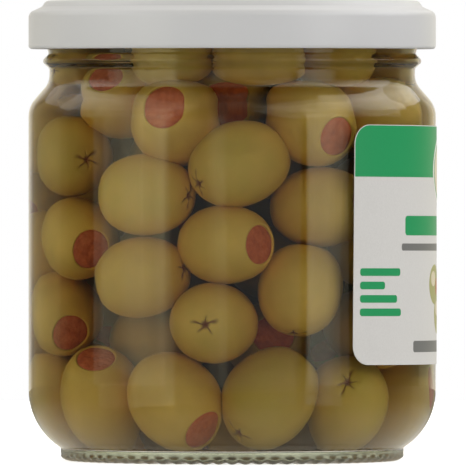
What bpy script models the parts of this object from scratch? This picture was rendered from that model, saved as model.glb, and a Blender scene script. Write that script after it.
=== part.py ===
"""A squat glass jar of stuffed green olives with a white twist-off metal lid and a paper label.

Modelled in metres with +Z up. The origin is the centre of the jar's foot, on the surface it stands on.
Azimuths are in degrees round the jar's axis, from -Y (the side that faces the viewer) towards +X.
"""

import math

import bmesh
import bpy
import numpy as np
from mathutils import Matrix, Vector

MM = 0.001
TURN_STEPS = 48
FLATNESS = 0.12 * MM

# Jar: the body and the lid are equally wide, and all heights are above the table.
BODY_RADIUS = 43.0 * MM
OVERALL_HEIGHT = 97.05 * MM
GLASS_WALL = 2.5 * MM
NECK_RADIUS = 38.6 * MM
FINISH_RADIUS = 38.8 * MM
BEAD_RADIUS = 40.1 * MM
BEAD_HEIGHT = 84.25 * MM
BEAD_HALF = 1.5 * MM
BEAD_FLAT = 0.3 * MM
NECK_FOOT_HEIGHT = 79.75 * MM
SHOULDER_HEIGHT = 74.7 * MM
HEEL_ARC = 14.4 * MM
HEEL_CORNER_HEIGHT = 7.15 * MM
FOOT_RADIUS = 36.0 * MM
FOOT_HEIGHT = 2.7 * MM
REST_RING_INNER = 31.3 * MM
PUSH_UP_RADIUS = 29.0 * MM
PUSH_UP_HEIGHT = 1.6 * MM
FLOOR_CENTRE_HEIGHT = 4.4 * MM
FLOOR_EDGE_HEIGHT = 3.1 * MM
INNER_HEEL_ARC = 11.0 * MM
RIM_GAP = 0.95 * MM
RIM_ROUND = 0.8 * MM

# Lid: pressed sheet with a raised ring over the glass rim, a recessed panel and a curled edge.
LID_RADIUS = 43.0 * MM
LID_HEIGHT = 10.2 * MM
LID_SHEET = 0.6 * MM
LID_RING_OUTER = 39.3 * MM
LID_RING_INNER = 35.6 * MM
LID_PANEL_DROP = 0.5 * MM
LID_BUTTON_RADIUS = 14.0 * MM
LID_BUTTON_DROP = 0.35 * MM
LID_NOTCH_RADIUS = 40.2 * MM
LID_NOTCH_DROP = 1.3 * MM
LID_SHOULDER_DROP = 2.55 * MM
LID_CURL = 1.5 * MM

# Label: one paper wrap, with its left edge on the viewer's right. It is set on a little askew.
LABEL_START = 36.8
LABEL_END = 247.0
LABEL_BOTTOM = 20.8 * MM
LABEL_TOP = 71.0 * MM
LABEL_CORNER = 4.0 * MM
LABEL_SHEET = 0.2 * MM
LABEL_GAP = 0.3 * MM
LABEL_TURN = 0.6
LABEL_STEPS = 36
CORNER_STEPS = 4

# Olives: pitted, with pimento in one end and a star-shaped cut in the other.
OLIVE_LENGTH = 20.0 * MM
OLIVE_WIDTH = 17.0 * MM
SMALLEST, LARGEST = 0.94, 1.04
OLIVE_COUNT = 76
WALL_CLEARANCE = 0.45 * MM
HEAP_TOP = 94.6 * MM
CORE_INSET = 10.5 * MM
CORE_BOTTOM = 8.5 * MM
CORE_TOP = 84.0 * MM
SHOWING_DEPTH = 12.0 * MM
OLIVE_SIDES = 8
OLIVE_SWELL = 1.03

# Settling: a few hundred small steps that push touching olives apart.
SEED = 7
CANDIDATES = 240
SETTLE_STEPS = 400
SINK_STEP = 0.04 * MM
YIELD = 0.5
TWIST = 0.1
ANCHOR_PULL = 0.4
DECIMALS = 7

# The olives that show from the viewer's side: azimuth, height and distance from the axis in mm, the
# azimuth and elevation of the pimento end, and size.
SEEN_OLIVES = (
    (-70, 64.5, 31.7, 190, 4, 1.0),
    (-32, 56.8, 31.6, -135, 1, 1.01),
    (-22, 72.0, 30.2, -14, 19, 1.0),
    (-50, 76.8, 26.5, -36, 24, 1.0),
    (-66, 47.0, 31.7, 8, -15, 1.0),
    (-78, 31.0, 31.7, 0, -27, 1.0),
    (-34, 39.0, 31.7, -143, -4, 0.99),
    (-54, 14.8, 31.5, -12, 55, 1.02),
    (-21, 14.0, 31.5, 50, -40, 1.02),
    (-7, 29.5, 31.7, 169, 1, 1.0),
    (2, 63.0, 31.5, 118, 24, 1.03),
    (-2, 46.0, 31.7, 43, 0, 0.98),
    (30, 70.5, 31.0, 38, -15, 0.98),
    (34, 53.6, 31.7, 78, 4, 1.0),
    (25, 36.5, 31.7, 155, 72, 0.99),
    (14, 15.0, 31.4, 120, 45, 1.04),
    (46, 14.0, 31.5, 187, -20, 1.0),
    (80, 14.5, 31.5, 100, 10, 1.0),
    (66, 72.0, 30.0, 140, 10, 1.0),
    (11, 84.5, 26.0, 100, 5, 0.96),
    (-26, 85.5, 26.0, 60, -10, 0.96),
    (48, 84.5, 26.0, 45, -25, 0.96),
    (-1, 77.0, 17.0, -5, 5, 0.96),
    (19, 25.5, 18.0, 12, 10, 0.96),
)


def material(name, colour, roughness, metallic=0.0, alpha=1.0):
    """A plain finish for one sub-part."""
    made = bpy.data.materials.new(name)
    made.use_nodes = True
    shader = made.node_tree.nodes["Principled BSDF"]
    shader.inputs["Base Color"].default_value = (*colour, 1.0)
    shader.inputs["Roughness"].default_value = roughness
    shader.inputs["Metallic"].default_value = metallic
    shader.inputs["Alpha"].default_value = alpha
    return made


def filleted(corners, flatness=FLATNESS):
    """The outline through (radius, height, fillet) corners, with an arc in place of each filleted one.

    An arc's straight pieces stay within flatness of it.
    """
    outline = []
    last = len(corners) - 1
    for index, (radius, height, fillet) in enumerate(corners):
        corner = Vector((radius, height))
        if index in (0, last) or fillet == 0.0:
            outline.append(corner)
            continue
        before = (Vector(corners[index - 1][:2]) - corner).normalized()
        after = (Vector(corners[index + 1][:2]) - corner).normalized()
        opening = before.angle(after)
        reach = fillet / math.tan(opening / 2)
        centre = corner + (before + after).normalized() * fillet / math.sin(opening / 2)
        start = corner + before * reach - centre
        end = corner + after * reach - centre
        turn = start.angle_signed(end)
        widest = 2 * math.acos(max(0.0, 1 - flatness / fillet))
        steps = max(1, math.ceil(abs(turn) / widest))
        for step in range(steps + 1):
            angle = -turn * step / steps
            spun = Matrix.Rotation(angle, 2) @ start
            outline.append(centre + spun)
    return outline


def turned(name, outline, steps, finish, collection):
    """A turned solid: the outline, which runs down its outer side, spun about +Z by a Screw modifier."""
    mesh = bpy.data.meshes.new(name)
    points = [(point.x, 0.0, point.y) for point in outline]
    edges = [(index, index + 1) for index in range(len(points) - 1)]
    mesh.from_pydata(points, edges, [])
    obj = bpy.data.objects.new(name, mesh)
    collection.objects.link(obj)
    screw = obj.modifiers.new("turn", "SCREW")
    screw.steps = steps
    screw.render_steps = steps
    screw.use_merge_vertices = True
    screw.merge_threshold = 0.01 * MM
    screw.use_smooth_shade = True
    mesh.materials.append(finish)
    return obj


def inner_outline():
    """The inside of the glass, from the middle of its floor out and up to the rim."""
    bore = BODY_RADIUS - GLASS_WALL
    mouth = NECK_RADIUS - GLASS_WALL
    slope_drop = 1.1 * MM
    rim = OVERALL_HEIGHT - RIM_GAP
    return (
        (0.0, FLOOR_CENTRE_HEIGHT, 0.0),
        (bore - INNER_HEEL_ARC, FLOOR_EDGE_HEIGHT, 6.0 * MM),
        (bore, FLOOR_EDGE_HEIGHT, INNER_HEEL_ARC * 0.9),
        (bore, SHOULDER_HEIGHT - slope_drop, 5.0 * MM),
        (mouth, NECK_FOOT_HEIGHT - slope_drop, 5.0 * MM),
        (mouth, rim, RIM_ROUND),
    )


def outer_outline():
    """The outside of the glass, from the rim down over bead, shoulder, body, heel and foot to the push-up."""
    rim = OVERALL_HEIGHT - RIM_GAP
    return (
        (FINISH_RADIUS, rim, RIM_ROUND),
        (FINISH_RADIUS, BEAD_HEIGHT + BEAD_HALF, 0.0),
        (BEAD_RADIUS, BEAD_HEIGHT + BEAD_FLAT, 0.0),
        (BEAD_RADIUS, BEAD_HEIGHT - BEAD_FLAT, 0.0),
        (NECK_RADIUS, BEAD_HEIGHT - BEAD_HALF, 0.0),
        (NECK_RADIUS, NECK_FOOT_HEIGHT, 4.0 * MM),
        (BODY_RADIUS, SHOULDER_HEIGHT, 5.5 * MM),
        (BODY_RADIUS, HEEL_CORNER_HEIGHT, HEEL_ARC),
        (FOOT_RADIUS, FOOT_HEIGHT, 0.0),
        (FOOT_RADIUS, 0.0, 1.6 * MM),
        (REST_RING_INNER, 0.0, 0.0),
        (PUSH_UP_RADIUS, PUSH_UP_HEIGHT, 0.0),
        (0.0, PUSH_UP_HEIGHT + 0.4 * MM, 0.0),
    )


def make_jar(finish, collection):
    """The glass jar, one blown piece that is open at its mouth."""
    return turned("jar", filleted(inner_outline() + outer_outline()), TURN_STEPS, finish, collection)


def make_lid(finish, collection):
    """The pressed lid, a thin shell with a curled lower edge."""
    top = OVERALL_HEIGHT
    panel = top - LID_PANEL_DROP
    button = panel - LID_BUTTON_DROP
    foot = top - LID_HEIGHT
    slope = 1.4 * MM
    outside = (
        (0.0, button, 0.0),
        (LID_BUTTON_RADIUS, button, 0.0),
        (LID_BUTTON_RADIUS + slope, panel, 0.0),
        (LID_RING_INNER - slope, panel, 0.0),
        (LID_RING_INNER, top, 0.0),
        (LID_RING_OUTER, top, 1.2 * MM),
        (LID_NOTCH_RADIUS, top - LID_NOTCH_DROP, 0.0),
        (LID_RADIUS, top - LID_SHOULDER_DROP, 1.6 * MM),
        (LID_RADIUS, foot, 0.5 * MM),
    )
    inside = (
        (LID_RADIUS - LID_CURL, foot, 0.5 * MM),
        (LID_RADIUS - LID_CURL, foot + LID_CURL * 0.8, 0.0),
        (LID_RADIUS - LID_SHEET, foot + LID_CURL * 1.3, 0.0),
        (LID_RADIUS - LID_SHEET, top - LID_SHOULDER_DROP - 0.5 * MM, 0.0),
        (LID_NOTCH_RADIUS - 0.4 * MM, top - LID_NOTCH_DROP - LID_SHEET, 0.0),
        (LID_RING_OUTER - 0.4 * MM, top - LID_SHEET, 0.0),
        (LID_RING_INNER + 0.2 * MM, top - LID_SHEET, 0.0),
        (LID_RING_INNER - slope, panel - LID_SHEET, 0.0),
        (LID_BUTTON_RADIUS + slope, panel - LID_SHEET, 0.0),
        (LID_BUTTON_RADIUS, button - LID_SHEET, 0.0),
        (0.0, button - LID_SHEET, 0.0),
    )
    return turned("lid", filleted(outside + inside), TURN_STEPS, finish, collection)


def label_distances(length):
    """How far along the label its columns of points are: close together in the corners."""
    corner = [LABEL_CORNER * (1 - math.cos(math.pi / 2 * step / CORNER_STEPS)) for step in range(CORNER_STEPS)]
    span = length - 2 * LABEL_CORNER
    middle = [LABEL_CORNER + span * step / LABEL_STEPS for step in range(LABEL_STEPS + 1)]
    return corner + middle + [length - distance for distance in reversed(corner)]


def make_label(finish, collection):
    """The paper label: a sheet with round corners, set askew, bent round the body and thickened outwards."""
    radius = BODY_RADIUS + LABEL_GAP
    length = math.radians(LABEL_END - LABEL_START) * radius
    middle_height = (LABEL_TOP + LABEL_BOTTOM) / 2
    half_height = (LABEL_TOP - LABEL_BOTTOM) / 2
    askew = Matrix.Rotation(math.radians(-LABEL_TURN), 2)
    sheet = bmesh.new()
    columns = []
    for distance in label_distances(length):
        short = max(0.0, LABEL_CORNER - min(distance, length - distance))
        bite = LABEL_CORNER - math.sqrt(LABEL_CORNER**2 - short**2)
        column = []
        for side in (-1, 1):
            flat = askew @ Vector((distance, side * (half_height - bite)))
            angle = math.radians(LABEL_START) + flat.x / radius
            place = (radius * math.sin(angle), -radius * math.cos(angle), middle_height + flat.y)
            column.append(sheet.verts.new(place))
        columns.append(column)
    for left, right in zip(columns, columns[1:]):
        sheet.faces.new((left[0], right[0], right[1], left[1]))
    mesh = bpy.data.meshes.new("label")
    sheet.to_mesh(mesh)
    sheet.free()
    obj = bpy.data.objects.new("label", mesh)
    collection.objects.link(obj)
    thicken = obj.modifiers.new("paper", "SOLIDIFY")
    thicken.thickness = LABEL_SHEET
    thicken.offset = 1.0
    mesh.materials.append(finish)
    return obj


def direction(azimuth, elevation):
    """The unit vector at this azimuth and elevation, both in degrees."""
    turn, rise = math.radians(azimuth), math.radians(elevation)
    return np.array(
        (math.cos(rise) * math.sin(turn), -math.cos(rise) * math.cos(turn), math.sin(rise))
    )


def wall_segments():
    """The inside of the glass as the starts and ends of straight pieces, in radius and height."""
    points = [tuple(point) for point in filleted(inner_outline())[:-1]]
    points[-1] = (points[-1][0], HEAP_TOP)
    points.append((0.0, HEAP_TOP))
    points = np.array(points)
    return points[:-1], points[1:]


def nearest_on_wall(places, starts, ends):
    """For each (radius, height) place, the nearest point of the wall and how far it is."""
    along = ends - starts
    share = ((places[:, None, :] - starts) * along).sum(-1) / (along * along).sum(-1)
    points = starts + np.clip(share, 0.0, 1.0)[..., None] * along
    gaps = np.linalg.norm(places[:, None, :] - points, axis=-1)
    picked = gaps.argmin(axis=1)
    rows = np.arange(len(places))
    return points[rows, picked], gaps[rows, picked]


def starting_olives():
    """The centres, pimento directions and sizes of the seen olives, then of the others, each of which is
    placed where it has the most room."""
    centres, axes, sizes = [], [], []
    for azimuth, height, radius, pimento_azimuth, pimento_elevation, size in SEEN_OLIVES:
        centre = direction(azimuth, 0.0) * radius * MM
        centre[2] = height * MM
        centres.append(centre)
        axes.append(direction(pimento_azimuth, pimento_elevation))
        sizes.append(size)
    starts, ends = wall_segments()
    draw = np.random.default_rng(SEED)
    reach = OLIVE_WIDTH / 2 + WALL_CLEARANCE
    widest = BODY_RADIUS - GLASS_WALL - reach
    while len(centres) < OLIVE_COUNT:
        turn = draw.uniform(0.0, 2 * math.pi, CANDIDATES)
        radius = widest * np.sqrt(draw.uniform(0.0, 1.0, CANDIDATES))
        height = draw.uniform(FLOOR_EDGE_HEIGHT + reach, HEAP_TOP - reach, CANDIDATES)
        places = np.stack((radius * np.sin(turn), -radius * np.cos(turn), height), axis=1)
        _, gap = nearest_on_wall(np.stack((radius, height), axis=1), starts, ends)
        room = np.linalg.norm(places[:, None] - np.array(centres), axis=-1).min(axis=1)
        centres.append(places[np.minimum(room, 2 * gap).argmax()])
        lean = draw.normal(size=3)
        axes.append(lean / np.linalg.norm(lean))
        sizes.append(draw.uniform(SMALLEST, LARGEST))
    return np.array(centres), np.array(axes), np.array(sizes)


def settled_olives():
    """The olives' centres, pimento directions and sizes once they have pushed each other apart.

    Each olive is two balls on its long axis. The seen ones are pulled back to their places, and none
    may reach into the glass.
    """
    centres, axes, sizes = starting_olives()
    anchors, held = centres.copy(), len(SEEN_OLIVES)
    starts, ends = wall_segments()
    count = len(centres)
    owner = np.repeat(np.arange(count), 2)
    ball = sizes[owner] * OLIVE_WIDTH / 2
    side = np.tile((1.0, -1.0), count) * sizes[owner] * (OLIVE_LENGTH - OLIVE_WIDTH) / 2
    touching = ball[:, None] + ball[None]
    touching[owner[:, None] == owner[None]] = 0.0
    for step in range(SETTLE_STEPS):
        centres[held:, 2] -= SINK_STEP * (1 - step / SETTLE_STEPS)
        balls = centres[owner] + axes[owner] * side[:, None]
        apart = balls[:, None] - balls[None]
        gaps = np.linalg.norm(apart, axis=-1)
        overlap = np.maximum(touching - gaps, 0.0)
        push = (apart * (0.5 * overlap / np.maximum(gaps, MM * MM))[..., None]).sum(axis=1)
        push /= np.sqrt(np.maximum((overlap > 0.0).sum(axis=1), 1))[:, None]
        pair = push.reshape(count, 2, 3)
        centres += YIELD * pair.mean(axis=1)
        axes[held:] += (pair[held:, 0] - pair[held:, 1]) * TWIST / MM
        axes /= np.linalg.norm(axes, axis=1)[:, None]
        centres[:held] += ANCHOR_PULL * (anchors[:held] - centres[:held])
        balls = centres[owner] + axes[owner] * side[:, None]
        flat = np.stack((np.linalg.norm(balls[:, :2], axis=1), balls[:, 2]), axis=1)
        wall, gap = nearest_on_wall(flat, starts, ends)
        short = np.maximum(ball + WALL_CLEARANCE - gap, 0.0)
        inward = (flat - wall) * (short / gap)[:, None]
        back = np.empty_like(balls)
        back[:, :2] = balls[:, :2] / flat[:, :1] * inward[:, :1]
        back[:, 2] = inward[:, 1]
        deeper = short.reshape(count, 2).argmax(axis=1)
        centres += back.reshape(count, 2, 3)[np.arange(count), deeper]
        centres, axes = np.round(centres, DECIMALS), np.round(axes, DECIMALS)
    return centres, axes, sizes


def olive_object(name, centre, axis, size, collection):
    """A low-sided olive at its place: a ball drawn out along its axis, swollen so its flats lie on average true."""
    body = bmesh.new()
    radius = size * OLIVE_WIDTH / 2 * OLIVE_SWELL
    bmesh.ops.create_uvsphere(body, u_segments=OLIVE_SIDES, v_segments=6, radius=radius)
    bmesh.ops.scale(body, vec=(1.0, 1.0, OLIVE_LENGTH / OLIVE_WIDTH), verts=body.verts[:])
    bmesh.ops.triangulate(body, faces=body.faces[:])
    turn = Vector(axis).to_track_quat("Z", "Y").to_matrix().to_4x4()
    body.transform(Matrix.Translation(Vector(centre)) @ turn)
    mesh = bpy.data.meshes.new(name)
    body.to_mesh(mesh)
    body.free()
    obj = bpy.data.objects.new(name, mesh)
    collection.objects.link(obj)
    return obj


def make_core(finish, collection):
    """The middle of the heap, a turned solid that the showing olives are fused to."""
    bore = BODY_RADIUS - GLASS_WALL - CORE_INSET
    mouth = NECK_RADIUS - GLASS_WALL - CORE_INSET
    corners = (
        (0.0, CORE_TOP, 0.0),
        (mouth, CORE_TOP, 3.0 * MM),
        (mouth, NECK_FOOT_HEIGHT, 0.0),
        (bore, SHOULDER_HEIGHT, 0.0),
        (bore, CORE_BOTTOM, 6.0 * MM),
        (0.0, CORE_BOTTOM, 0.0),
    )
    core = turned("olives", filleted(corners, 1.0 * MM), 18, finish, collection)
    apply_modifiers(core)
    return core


def apply_modifiers(obj):
    """Puts the object's evaluated mesh in place of its mesh and modifiers."""
    bpy.context.view_layer.update()
    graph = bpy.context.evaluated_depsgraph_get()
    shaped = bpy.data.meshes.new_from_object(obj.evaluated_get(graph))
    obj.modifiers.clear()
    obj.data = shaped


def make_heap(finish, collection):
    """The olives as one solid: those that show, fused to the core by one union."""
    core = make_core(finish, collection)
    loose = bpy.data.collections.new("loose olives")
    bpy.context.scene.collection.children.link(loose)
    centres, axes, sizes = settled_olives()
    radii = np.linalg.norm(centres[:, :2], axis=1)
    _, gaps = nearest_on_wall(np.stack((radii, centres[:, 2]), axis=1), *wall_segments())
    showing = gaps < OLIVE_WIDTH / 2 + SHOWING_DEPTH
    for index in np.flatnonzero(showing):
        olive_object(f"olive_{index:02d}", centres[index], axes[index], sizes[index], loose)
    union = core.modifiers.new("heap", "BOOLEAN")
    union.operation = "UNION"
    union.operand_type = "COLLECTION"
    union.collection = loose
    union.solver = "MANIFOLD"
    apply_modifiers(core)
    for obj in list(loose.objects):
        bpy.data.objects.remove(obj)
    bpy.data.collections.remove(loose)
    return core


def main():
    """Builds the four sub-parts."""
    for obj in list(bpy.data.objects):
        bpy.data.objects.remove(obj)
    parts = bpy.data.collections.new("jar of olives")
    bpy.context.scene.collection.children.link(parts)
    glass = material("clear glass", (0.82, 0.88, 0.84), 0.05, alpha=0.3)
    enamel = material("white enamelled tinplate", (0.78, 0.78, 0.76), 0.35)
    paper = material("white label paper", (0.8, 0.79, 0.76), 0.5)
    flesh = material("green olive flesh", (0.28, 0.2, 0.06), 0.4)
    make_jar(glass, parts)
    make_lid(enamel, parts)
    make_label(paper, parts)
    make_heap(flesh, parts)


main()
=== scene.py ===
"""Dresses a squat glass jar of stuffed green olives: glass, lid, label, brine and the olives themselves.

Lengths are in metres. Azimuths are in degrees round the jar's axis, from -Y (the side that faces the
viewer) towards +X.
"""

from __future__ import annotations

import logging
import math
from collections.abc import Callable
from dataclasses import dataclass, field
from enum import Enum

import bpy
import numpy as np
from mathutils import Matrix, Vector


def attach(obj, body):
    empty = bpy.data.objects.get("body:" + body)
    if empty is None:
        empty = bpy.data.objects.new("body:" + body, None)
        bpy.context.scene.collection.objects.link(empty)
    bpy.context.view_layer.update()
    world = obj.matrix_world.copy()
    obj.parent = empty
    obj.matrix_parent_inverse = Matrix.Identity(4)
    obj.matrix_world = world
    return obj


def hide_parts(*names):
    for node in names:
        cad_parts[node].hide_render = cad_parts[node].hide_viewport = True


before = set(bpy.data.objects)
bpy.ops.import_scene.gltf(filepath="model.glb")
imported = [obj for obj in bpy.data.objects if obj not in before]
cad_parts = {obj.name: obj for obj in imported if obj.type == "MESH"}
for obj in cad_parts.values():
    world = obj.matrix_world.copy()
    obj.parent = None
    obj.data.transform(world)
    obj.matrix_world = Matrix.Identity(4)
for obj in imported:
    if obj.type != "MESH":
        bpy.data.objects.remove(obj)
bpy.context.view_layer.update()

MM = 0.001
BODY = "root"
LOG = logging.getLogger("jar_of_olives")

Colour = tuple[float, float, float]
Corner = tuple[float, float, float]
Strip = tuple[float, float, float]
Stretch = tuple[float, float, float]
Reshape = Callable[[np.ndarray, np.ndarray, np.ndarray], tuple[np.ndarray, np.ndarray]]


class PrintInk(Enum):
    """The inks of the label, each with its colour."""

    GREEN = (0.0088, 0.288, 0.095)
    GREY = (0.16, 0.16, 0.155)
    CREAM = (0.62, 0.55, 0.40)
    OLIVE = (0.34, 0.33, 0.12)
    RED = (0.42, 0.075, 0.035)
    WHITE = (0.76, 0.75, 0.71)


def direction(azimuth: float, elevation: float) -> np.ndarray:
    """The unit vector at this azimuth from -Y towards +X and elevation above level, in degrees."""
    turn, rise = math.radians(azimuth), math.radians(elevation)
    return np.array((math.cos(rise) * math.sin(turn), -math.cos(rise) * math.cos(turn), math.sin(rise)))


def filleted(corners: tuple[Corner, ...], flatness: float) -> list[Vector]:
    """An outline with an arc in place of each filleted corner.

    Args:
        corners: (radius, height, fillet) of each corner.
        flatness: how far an arc's straight pieces may stray from it.

    Returns:
        The outline's points, in radius and height.
    """
    outline = []
    last = len(corners) - 1
    for index, (radius, height, fillet) in enumerate(corners):
        corner = Vector((radius, height))
        if index in (0, last) or fillet == 0.0:
            outline.append(corner)
            continue
        before = (Vector(corners[index - 1][:2]) - corner).normalized()
        after = (Vector(corners[index + 1][:2]) - corner).normalized()
        opening = before.angle(after)
        reach = fillet / math.tan(opening / 2)
        centre = corner + (before + after).normalized() * fillet / math.sin(opening / 2)
        start = corner + before * reach - centre
        end = corner + after * reach - centre
        turn = start.angle_signed(end)
        widest = 2 * math.acos(max(0.0, 1 - flatness / fillet))
        steps = max(1, math.ceil(abs(turn) / widest))
        for step in range(steps + 1):
            spun = Matrix.Rotation(-turn * step / steps, 2) @ start
            outline.append(centre + spun)
    return outline


def divided(outline: list[Vector], longest: float) -> np.ndarray:
    """The outline with its long straight pieces cut up.

    Args:
        outline: points in radius and height.
        longest: the longest piece that stays whole.

    Returns:
        An array of (radius, height) rows.
    """
    points = [outline[0]]
    for start, end in zip(outline, outline[1:]):
        count = max(1, math.ceil((end - start).length / longest))
        points += [start.lerp(end, step / count) for step in range(1, count + 1)]
    return np.array([tuple(point) for point in points])


def make_piece(name: str, points: np.ndarray, faces: list[tuple[int, ...]], finish: bpy.types.Material,
               sharp: float = 50.0) -> bpy.types.Object:
    """A shown mesh object that rides on the jar.

    Args:
        name: the piece's name.
        points: its vertices.
        faces: its faces, as vertex numbers.
        finish: its material.
        sharp: edges that turn by more than this many degrees stay sharp.

    Returns:
        The new object.
    """
    mesh = bpy.data.meshes.new(name)
    mesh.from_pydata(points.tolist(), [], faces)
    mesh.shade_smooth()
    mesh.set_sharp_from_angle(angle=math.radians(sharp))
    mesh.materials.append(finish)
    piece = bpy.data.objects.new(name, mesh)
    bpy.context.scene.collection.objects.link(piece)
    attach(piece, BODY)
    return piece


def turned(name: str, outline: np.ndarray, segments: int, finish: bpy.types.Material,
           reshape: Reshape | None = None) -> bpy.types.Object:
    """A solid turned about the jar's axis, whose outline starts and ends on the axis.

    Args:
        name: the piece's name.
        outline: (radius, height) rows, which run up the inside and down the outside.
        segments: steps round the axis.
        finish: its material.
        reshape: moves each point's radius and height, from its radius, height and angle.

    Returns:
        The new object.
    """
    angle = 2 * math.pi * np.arange(segments) / segments
    radius = np.repeat(outline[1:-1, :1], segments, axis=1)
    height = np.repeat(outline[1:-1, 1:], segments, axis=1)
    if reshape:
        radius, height = reshape(radius, height, np.broadcast_to(angle, radius.shape))
    rings = np.stack((radius * np.sin(angle), -radius * np.cos(angle), height), axis=-1).reshape(-1, 3)
    ends = np.array(((0.0, 0.0, outline[0, 1]), (0.0, 0.0, outline[-1, 1])))
    points = np.concatenate((rings, ends))
    count = len(outline) - 2
    first, last = len(rings), len(rings) + 1
    faces: list[tuple[int, ...]] = []
    for side in range(segments):
        after = (side + 1) % segments
        faces.append((first, side, after))
        faces.append((last, (count - 1) * segments + after, (count - 1) * segments + side))
        for ring in range(count - 1):
            low, high = ring * segments, (ring + 1) * segments
            faces.append((low + side, high + side, high + after, low + after))
    return make_piece(name, points, faces, finish)


class Shader:
    """One Principled material, to which named nodes are added."""

    def __init__(self, name: str) -> None:
        """Starts the material.

        Args:
            name: the material's name.
        """
        self.material = bpy.data.materials.new(name)
        self.material.use_nodes = True
        self.tree = self.material.node_tree
        self.surface = self.tree.nodes["Principled BSDF"]
        place = self.tree.nodes.new("ShaderNodeTexCoord")
        self.place = place.outputs["Object"]

    def set(self, **values: float | Colour) -> None:
        """Sets the surface's own sockets.

        Args:
            values: what each socket gets. A socket's name has underscores for its spaces.
        """
        for name, value in values.items():
            socket = self.surface.inputs[name.replace("_", " ")]
            socket.default_value = (*value, 1.0) if socket.type == "RGBA" else value

    def link(self, output: bpy.types.NodeSocket, socket: str) -> None:
        """Links an output to one of the surface's sockets."""
        self.tree.links.new(output, self.surface.inputs[socket])

    def stretched(self, scale: Stretch) -> bpy.types.NodeSocket:
        """Object coordinates with each axis scaled.

        Args:
            scale: what each axis is multiplied by.

        Returns:
            The coordinates' socket.
        """
        mapping = self.tree.nodes.new("ShaderNodeMapping")
        mapping.inputs["Scale"].default_value = scale
        self.tree.links.new(self.place, mapping.inputs["Vector"])
        return mapping.outputs["Vector"]

    def noise(self, scale: float, detail: float = 2.0, place: bpy.types.NodeSocket | None = None,
              rough: float = 0.5) -> bpy.types.NodeSocket:
        """A noise's factor.

        Args:
            scale: features to a metre.
            detail: octaves.
            place: coordinates, or None for object coordinates.
            rough: how strong the small octaves are.

        Returns:
            The factor's socket.
        """
        made = self.tree.nodes.new("ShaderNodeTexNoise")
        made.inputs["Scale"].default_value = scale
        made.inputs["Detail"].default_value = detail
        made.inputs["Roughness"].default_value = rough
        self.tree.links.new(place or self.place, made.inputs["Vector"])
        return made.outputs["Fac"]

    def grains(self, scale: float) -> bpy.types.NodeSocket:
        """How far each place is from the middle of its grain.

        Args:
            scale: grains to a metre.

        Returns:
            The distance's socket.
        """
        made = self.tree.nodes.new("ShaderNodeTexVoronoi")
        made.inputs["Scale"].default_value = scale
        self.tree.links.new(self.place, made.inputs["Vector"])
        return made.outputs["Distance"]

    def attribute(self, name: str) -> bpy.types.NodeSocket:
        """A value kept on the mesh.

        Args:
            name: the value's name.

        Returns:
            Its factor's socket.
        """
        made = self.tree.nodes.new("ShaderNodeAttribute")
        made.attribute_name = name
        return made.outputs["Fac"]

    def ramp(self, factor: bpy.types.NodeSocket, *stops: tuple[float, Colour]) -> bpy.types.NodeSocket:
        """A colour that runs through the stops as a factor grows.

        Args:
            factor: what picks the colour.
            stops: the position and colour of each stop.

        Returns:
            The colour's socket.
        """
        made = self.tree.nodes.new("ShaderNodeValToRGB")
        elements = made.color_ramp.elements
        while len(elements) < len(stops):
            elements.new(0.5)
        for element, (position, colour) in zip(elements, stops):
            element.position = position
            element.color = (*colour, 1.0)
        self.tree.links.new(factor, made.inputs["Fac"])
        return made.outputs["Color"]

    def mixed(self, factor: bpy.types.NodeSocket, first: bpy.types.NodeSocket | Colour,
              second: bpy.types.NodeSocket | Colour, way: str = "MIX") -> bpy.types.NodeSocket:
        """Two colours mixed by a factor.

        Args:
            factor: how much of the second.
            first: a socket or a colour.
            second: a socket or a colour.
            way: the blend type.

        Returns:
            The mixed colour's socket.
        """
        made = self.tree.nodes.new("ShaderNodeMix")
        made.data_type = "RGBA"
        made.blend_type = way
        self.tree.links.new(factor, made.inputs["Factor"])
        for socket, value in ((made.inputs[6], first), (made.inputs[7], second)):
            if isinstance(value, tuple):
                socket.default_value = (*value, 1.0)
            else:
                self.tree.links.new(value, socket)
        return made.outputs[2]

    def span(self, factor: bpy.types.NodeSocket, low: float, high: float, start: float = 0.0,
             end: float = 1.0) -> bpy.types.NodeSocket:
        """A factor mapped from one range to another, and kept within it.

        Args:
            factor: what is mapped.
            low: the result at start.
            high: the result at end.
            start: where the factor's range starts.
            end: where the factor's range ends.

        Returns:
            The result's socket.
        """
        made = self.tree.nodes.new("ShaderNodeMapRange")
        for name, value in (("From Min", start), ("From Max", end), ("To Min", low), ("To Max", high)):
            made.inputs[name].default_value = value
        self.tree.links.new(factor, made.inputs["Value"])
        return made.outputs["Result"]

    def bump(self, height: bpy.types.NodeSocket, depth: float) -> None:
        """Raises the surface, on top of any bump it has.

        Args:
            height: how high each place is.
            depth: how far a height of 1 stands out.
        """
        made = self.tree.nodes.new("ShaderNodeBump")
        made.inputs["Strength"].default_value = 1.0
        made.inputs["Distance"].default_value = depth
        self.tree.links.new(height, made.inputs["Height"])
        earlier = self.surface.inputs["Normal"].links
        if earlier:
            self.tree.links.new(earlier[0].from_socket, made.inputs["Normal"])
        self.link(made.outputs["Normal"], "Normal")

    def absorb(self, colour: Colour, density: float) -> None:
        """Tints what lies inside the surface.

        Args:
            colour: what passes.
            density: how strongly it tints, to a metre.
        """
        made = self.tree.nodes.new("ShaderNodeVolumeAbsorption")
        made.inputs["Color"].default_value = (*colour, 1.0)
        made.inputs["Density"].default_value = density
        output = self.tree.nodes["Material Output"]
        self.tree.links.new(made.outputs["Volume"], output.inputs["Volume"])


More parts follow.
